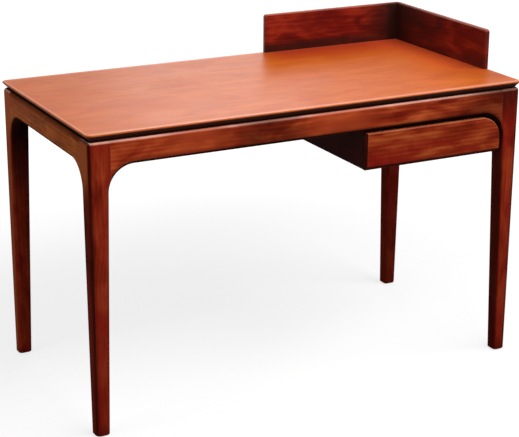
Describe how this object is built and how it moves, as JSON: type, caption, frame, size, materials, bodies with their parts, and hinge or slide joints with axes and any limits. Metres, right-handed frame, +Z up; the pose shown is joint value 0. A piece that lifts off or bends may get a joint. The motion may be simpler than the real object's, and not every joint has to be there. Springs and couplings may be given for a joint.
{
  "type": "study table",
  "caption": "Study table in red-brown lacquered wood: thin top on arched, tapered legs, L-shaped upstand at the rear right corner, flush drawer hung below.",
  "frame": {"origin": "on the floor, under the centre of the top", "axes": "+X along the length to the right as seen from the sitter's side, +Y to the back, +Z up"},
  "size_m": [1.2, 0.6, 0.856],
  "materials": {
    "top_wood": "satin lacquer, red-brown stain",
    "frame_wood": "satin lacquer, red-brown stain",
    "front_wood": "satin lacquer, red-brown stain",
    "case_wood": "satin lacquer, red-brown stain",
    "plain_wood": "clear oiled",
    "zinc_steel": "zinc plated",
    "screw_steel": "zinc plated",
    "glide_nylon": "matte",
    "bumper_rubber": "matte"
  },
  "bodies": {
    "table": {"front_left_leg": "frame_wood", "front_right_leg": "frame_wood", "rear_left_leg": "frame_wood", "rear_right_leg": "frame_wood", "front_apron": "frame_wood", "rear_apron": "frame_wood", "left_apron": "frame_wood", "right_apron": "frame_wood", "centre_bearer": "plain_wood", "tabletop": "top_wood", "gallery_back_panel": "top_wood", "gallery_side_panel": "top_wood", "gallery_dowels": "plain_wood", "case_left_cheek": "case_wood", "case_right_cheek": "case_wood", "case_back_panel": "case_wood", "case_left_cleat": "plain_wood", "case_right_cleat": "plain_wood", "cleat_top_screws": "screw_steel", "cleat_side_screws": "screw_steel", "tabletop_clips": "zinc_steel", "tabletop_clip_screws": "screw_steel", "foot_glides": "glide_nylon", "slide_left_outer": "zinc_steel", "slide_right_outer": "zinc_steel"},
    "drawer": {"drawer_front": "front_wood", "drawer_inner_front": "plain_wood", "drawer_left_side": "plain_wood", "drawer_right_side": "plain_wood", "drawer_back": "plain_wood", "drawer_bottom": "plain_wood", "drawer_front_screws": "screw_steel", "drawer_bumpers": "bumper_rubber", "slide_left_inner": "zinc_steel", "slide_right_inner": "zinc_steel"},
    "slide_left_middle": {"slide_left_middle": "zinc_steel"},
    "slide_right_middle": {"slide_right_middle": "zinc_steel"},
    "slide_left_outer_cage": {"slide_left_outer_cage": "zinc_steel"},
    "slide_right_outer_cage": {"slide_right_outer_cage": "zinc_steel"},
    "slide_left_inner_cage": {"slide_left_inner_cage": "zinc_steel"},
    "slide_right_inner_cage": {"slide_right_inner_cage": "zinc_steel"}
  },
  "joints": [
    {"name": "drawer_slide", "type": "slide", "parent": "table", "child": "drawer", "axis": [0, -1, 0], "range_m": [0, 0.36]},
    {"name": "slide_left_middle_travel", "type": "slide", "parent": "table", "child": "slide_left_middle", "axis": [0, -1, 0], "range_m": [0, 0.18]},
    {"name": "slide_right_middle_travel", "type": "slide", "parent": "table", "child": "slide_right_middle", "axis": [0, -1, 0], "range_m": [0, 0.18]},
    {"name": "slide_left_outer_cage_travel", "type": "slide", "parent": "table", "child": "slide_left_outer_cage", "axis": [0, -1, 0], "range_m": [0, 0.09]},
    {"name": "slide_right_outer_cage_travel", "type": "slide", "parent": "table", "child": "slide_right_outer_cage", "axis": [0, -1, 0], "range_m": [0, 0.09]},
    {"name": "slide_left_inner_cage_travel", "type": "slide", "parent": "table", "child": "slide_left_inner_cage", "axis": [0, -1, 0], "range_m": [0, 0.27]},
    {"name": "slide_right_inner_cage_travel", "type": "slide", "parent": "table", "child": "slide_right_inner_cage", "axis": [0, -1, 0], "range_m": [0, 0.27]}
  ],
  "couplings": [
    {"joint": "slide_left_middle_travel", "follows": "drawer_slide", "ratio": 0.5},
    {"joint": "slide_right_middle_travel", "follows": "drawer_slide", "ratio": 0.5},
    {"joint": "slide_left_outer_cage_travel", "follows": "drawer_slide", "ratio": 0.25},
    {"joint": "slide_right_outer_cage_travel", "follows": "drawer_slide", "ratio": 0.25},
    {"joint": "slide_left_inner_cage_travel", "follows": "drawer_slide", "ratio": 0.75},
    {"joint": "slide_right_inner_cage_travel", "follows": "drawer_slide", "ratio": 0.75}
  ]
}
